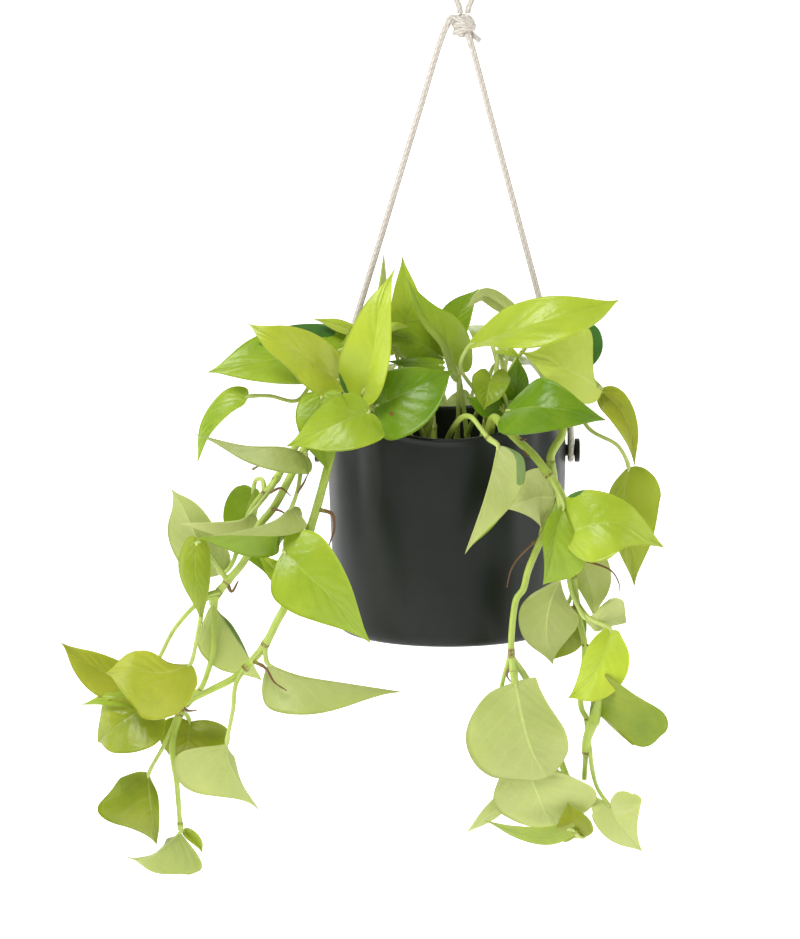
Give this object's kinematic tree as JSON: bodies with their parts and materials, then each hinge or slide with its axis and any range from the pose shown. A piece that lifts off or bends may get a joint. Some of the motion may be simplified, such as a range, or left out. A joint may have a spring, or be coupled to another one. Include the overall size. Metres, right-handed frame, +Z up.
{
  "type": "hanging pot with trailing plant",
  "caption": "Round dark hanging pot with two raised ears, soil and a leafy trailing climber, held by braided rope from a knot and eye.",
  "frame": {"origin": "top of the hanging eye, inside the loop, where a hook bears", "axes": "+Z up, +Y away from the front, +X to the right as seen from the front; the front shows both ears at the sides"},
  "size_m": [0.4486, 0.2726, 0.6778],
  "materials": {
    "pot": "satin anthracite moulding with a faint grain",
    "soil": "moist crumbly potting soil with bark and fibre",
    "rope": "braided beige cord",
    "plant": "waxy chartreuse leaves with sparse darker green areas"
  },
  "bodies": {
    "root": {"pot": "pot", "soil": "soil", "rope_left": "rope", "rope_right": "rope", "rope_knot": "rope", "rope_eye": "rope", "stem_01": "plant", "stem_02": "plant", "stem_03": "plant", "stem_04": "plant", "stem_05": "plant", "stem_06": "plant", "stem_07": "plant", "stem_08": "plant", "stem_09": "plant", "stem_10": "plant", "stem_11": "plant", "stem_12": "plant", "stem_13": "plant", "stem_14": "plant", "stem_15": "plant", "stem_16": "plant", "stem_17": "plant", "stem_18": "plant", "vine_left_side": "plant", "vine_left_outer": "plant", "vine_left_inner": "plant", "vine_right_front": "plant", "vine_front": "plant", "vine_right_rear": "plant", "vine_back": "plant"}
  },
  "joints": []
}
